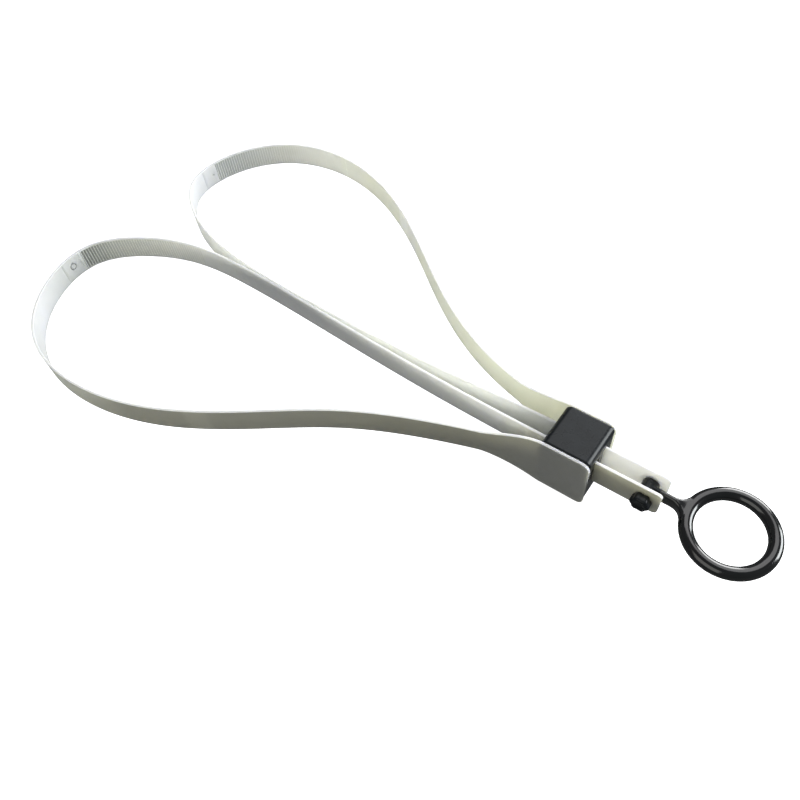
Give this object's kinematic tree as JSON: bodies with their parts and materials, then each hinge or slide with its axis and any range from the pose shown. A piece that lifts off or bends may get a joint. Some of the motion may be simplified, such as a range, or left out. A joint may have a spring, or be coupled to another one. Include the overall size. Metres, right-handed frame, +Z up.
{
  "type": "double loop strap restraint",
  "caption": "Double-loop strap restraint: two toothed nylon straps on edge through a lock block with ratchet pawls, drawn tight by a hinged pull ring.",
  "frame": {"origin": "middle of the lock block's underside", "axes": "+X from the loops to the pull ring along the straps, +Y across the block to the far strap, +Z up"},
  "size_m": [0.3577, 0.2002, 0.027],
  "materials": {
    "black_plastic": "glossy moulded black",
    "pawl_plastic": "satin",
    "strap_nylon": "satin moulded nylon, pale grey-green",
    "steel": "brushed"
  },
  "bodies": {
    "lock_body": {"lock_housing": "black_plastic", "base_cover": "black_plastic", "near_pawl_axle": "steel", "far_pawl_axle": "steel", "near_pawl_spring": "steel", "far_pawl_spring": "steel", "near_strap_anchor": "strap_nylon", "far_strap_anchor": "strap_nylon", "near_strap_bend": "strap_nylon", "far_strap_bend": "strap_nylon"},
    "pull_straps": {"near_strap_tail": "strap_nylon", "far_strap_tail": "strap_nylon", "cross_pin": "black_plastic", "pin_cap": "black_plastic"},
    "finger_ring": {"pull_ring": "black_plastic"},
    "pawl_near": {"near_pawl": "pawl_plastic"},
    "pawl_far": {"far_pawl": "pawl_plastic"}
  },
  "joints": [
    {"name": "strap_pull", "type": "slide", "parent": "lock_body", "child": "pull_straps", "axis": [1, 0, 0], "range_m": [0, 0.111], "deforming": ["near_strap_bend", "far_strap_bend"]},
    {"name": "ring_swing", "type": "hinge", "parent": "pull_straps", "child": "finger_ring", "pos_m": [0.0308, 0, 0.01465], "axis": [0, 1, 0], "range_deg": [-120, 115]},
    {"name": "near_pawl_turn", "type": "hinge", "parent": "lock_body", "child": "pawl_near", "pos_m": [-0.0036, -0.007, 0.01465], "axis": [0, 0, -1], "range_deg": [-2.5, 4], "stiffness_Nm_per_rad": 0.05, "deforming": ["near_pawl_spring"]},
    {"name": "far_pawl_turn", "type": "hinge", "parent": "lock_body", "child": "pawl_far", "pos_m": [-0.0036, 0.007, 0.01465], "axis": [0, 0, 1], "range_deg": [-2.5, 4], "stiffness_Nm_per_rad": 0.05, "deforming": ["far_pawl_spring"]}
  ]
}
